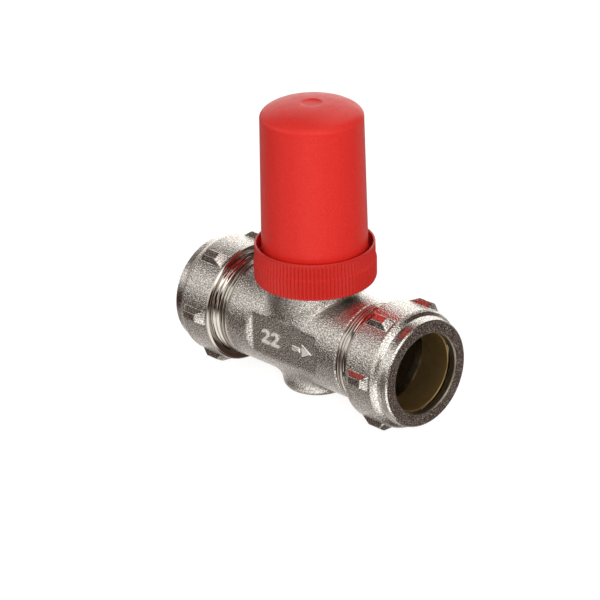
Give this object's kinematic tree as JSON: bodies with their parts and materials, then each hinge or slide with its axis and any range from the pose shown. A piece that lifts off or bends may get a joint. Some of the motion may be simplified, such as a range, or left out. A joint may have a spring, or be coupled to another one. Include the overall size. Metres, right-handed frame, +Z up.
{
  "type": "lockshield valve",
  "caption": "Straight lockshield valve with lugged compression nuts, screwed bonnet, rising square spindle and a tall domed cap held by a ribbed ring.",
  "frame": {"origin": "where the pipe axis and the spindle axis cross, on the line of the pipes that hold the valve", "axes": "+X along the pipe in the direction of flow (outlet side), +Z up the spindle towards the cap, +Y to the left of the flow"},
  "size_m": [0.0812, 0.0362, 0.0827],
  "materials": {
    "valve_body": "grit-blasted forging, satin nickel plate",
    "nut_outlet": "grit-blasted and nickel plated, turned nose",
    "nut_inlet": "grit-blasted and nickel plated, turned nose",
    "olive_outlet": "bright turned brass",
    "olive_inlet": "bright turned brass",
    "bonnet": "turned brass",
    "bonnet_washer": "grey fibre sealing ring",
    "gland_ring": "turned brass",
    "gland_packing": "white PTFE",
    "gland_nut": "turned brass",
    "spindle": "turned brass, milled square",
    "spindle_oring_lower": "black rubber",
    "spindle_oring_upper": "black rubber",
    "spindle_clip": "spring steel",
    "plug_carrier": "turned brass",
    "seat_washer": "black rubber",
    "washer_plate": "stainless steel",
    "washer_screw": "stainless steel",
    "cap_barrel": "satin red moulded plastic",
    "cap_collar": "satin red moulded plastic, finely ribbed"
  },
  "bodies": {
    "body": {"valve_body": "valve_body", "bonnet": "bonnet", "bonnet_washer": "bonnet_washer", "gland_ring": "gland_ring", "gland_packing": "gland_packing", "gland_nut": "gland_nut"},
    "plug": {"plug_carrier": "plug_carrier", "seat_washer": "seat_washer", "washer_plate": "washer_plate", "washer_screw": "washer_screw", "spindle_clip": "spindle_clip"},
    "spindle": {"spindle": "spindle", "spindle_oring_lower": "spindle_oring_lower", "spindle_oring_upper": "spindle_oring_upper"},
    "olive_outlet": {"olive_outlet": "olive_outlet"},
    "nut_outlet": {"nut_outlet": "nut_outlet"},
    "olive_inlet": {"olive_inlet": "olive_inlet"},
    "nut_inlet": {"nut_inlet": "nut_inlet"},
    "cap": {"cap_barrel": "cap_barrel"},
    "cap_ring": {"cap_collar": "cap_collar"}
  },
  "joints": [
    {"name": "plug_lift", "type": "slide", "parent": "body", "child": "plug", "axis": [0, 0, 1], "range_m": [0, 0.004]},
    {"name": "spindle_turn", "type": "hinge", "parent": "plug", "child": "spindle", "pos_m": [0, 0, 0], "axis": [0, 0, 1], "range_deg": [0, 1152]},
    {"name": "outlet_nut_travel", "type": "slide", "parent": "body", "child": "olive_outlet", "axis": [1, 0, 0], "range_m": [-0.001, 0.00562]},
    {"name": "outlet_nut_turn", "type": "hinge", "parent": "olive_outlet", "child": "nut_outlet", "pos_m": [0, 0, 0], "axis": [1, 0, 0], "range_deg": [-240, 1350]},
    {"name": "inlet_nut_travel", "type": "slide", "parent": "body", "child": "olive_inlet", "axis": [-1, 0, 0], "range_m": [0, 0.00562]},
    {"name": "inlet_nut_turn", "type": "hinge", "parent": "olive_inlet", "child": "nut_inlet", "pos_m": [0, 0, 0], "axis": [-1, 0, 0], "range_deg": [0, 1350]},
    {"name": "cap_lift", "type": "slide", "parent": "body", "child": "cap", "axis": [0, 0, 1], "range_m": [0, 0.045]},
    {"name": "cap_ring_turn", "type": "hinge", "parent": "cap", "child": "cap_ring", "pos_m": [0, 0, 0], "axis": [0, 0, 1], "continuous": true}
  ],
  "couplings": [
    {"joint": "plug_lift", "follows": "spindle_turn", "m_per_rad": 0.00019894},
    {"joint": "outlet_nut_travel", "follows": "outlet_nut_turn", "m_per_rad": 0.00023873},
    {"joint": "inlet_nut_travel", "follows": "inlet_nut_turn", "m_per_rad": 0.00023873}
  ]
}
